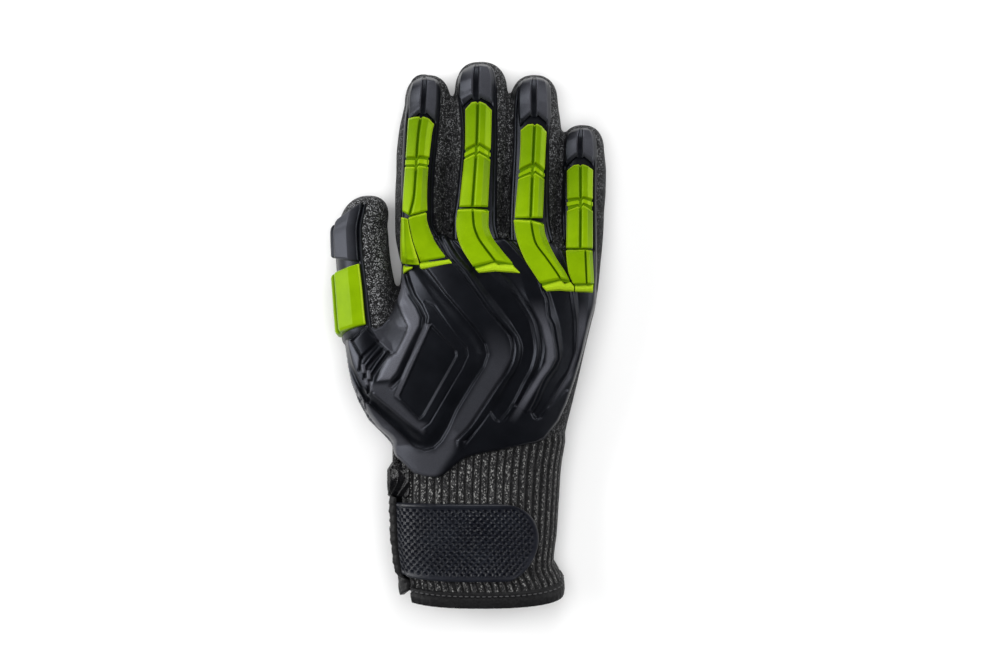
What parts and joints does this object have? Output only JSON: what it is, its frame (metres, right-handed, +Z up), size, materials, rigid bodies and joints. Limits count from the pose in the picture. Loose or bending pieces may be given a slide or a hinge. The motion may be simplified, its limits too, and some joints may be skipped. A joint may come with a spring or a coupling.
{
  "type": "impact glove",
  "caption": "Knitted work glove for the right hand with moulded impact guards on the back, a slit cuff and a wrist strap.",
  "frame": {"origin": "on the surface the glove lies on, under the middle of its bounding box", "axes": "+X from the thumb side to the little finger side, +Y from the cuff to the fingertips, +Z up out of the back of the hand; the palm faces down"},
  "size_m": [0.1312, 0.2603, 0.0381],
  "materials": {
    "knit": "charcoal rib knit with a black sandy palm coating",
    "guard_black": "satin moulded thermoplastic rubber",
    "guard_green": "lime green, soft gloss",
    "strap_rubber": "embossed satin",
    "binding": "soft black, semi-matt",
    "gusset_fabric": "black gathered knit"
  },
  "bodies": {
    "root": {"knit_shell": "knit", "hand_plate": "guard_black", "index_rail": "guard_black", "index_pad_distal": "guard_green", "index_pad_link": "guard_green", "index_pad_proximal": "guard_green", "index_pad_knuckle": "guard_green", "index_knuckle_bar": "guard_green", "middle_rail": "guard_black", "middle_pad_distal": "guard_green", "middle_pad_link": "guard_green", "middle_pad_proximal": "guard_green", "middle_pad_knuckle": "guard_green", "middle_knuckle_bar": "guard_green", "ring_rail": "guard_black", "ring_pad_distal": "guard_green", "ring_pad_link": "guard_green", "ring_pad_proximal": "guard_green", "ring_pad_knuckle": "guard_green", "ring_knuckle_bar": "guard_green", "little_rail": "guard_black", "little_pad_distal": "guard_green", "little_pad_link": "guard_green", "little_pad_proximal": "guard_green", "little_pad_knuckle": "guard_green", "little_knuckle_bar": "guard_green", "thumb_rail": "guard_black", "thumb_pad": "guard_green", "hem_binding": "binding", "slit_binding_front": "binding", "slit_binding_rear": "binding", "gusset": "gusset_fabric", "cuff_strap": "strap_rubber"}
  },
  "joints": []
}
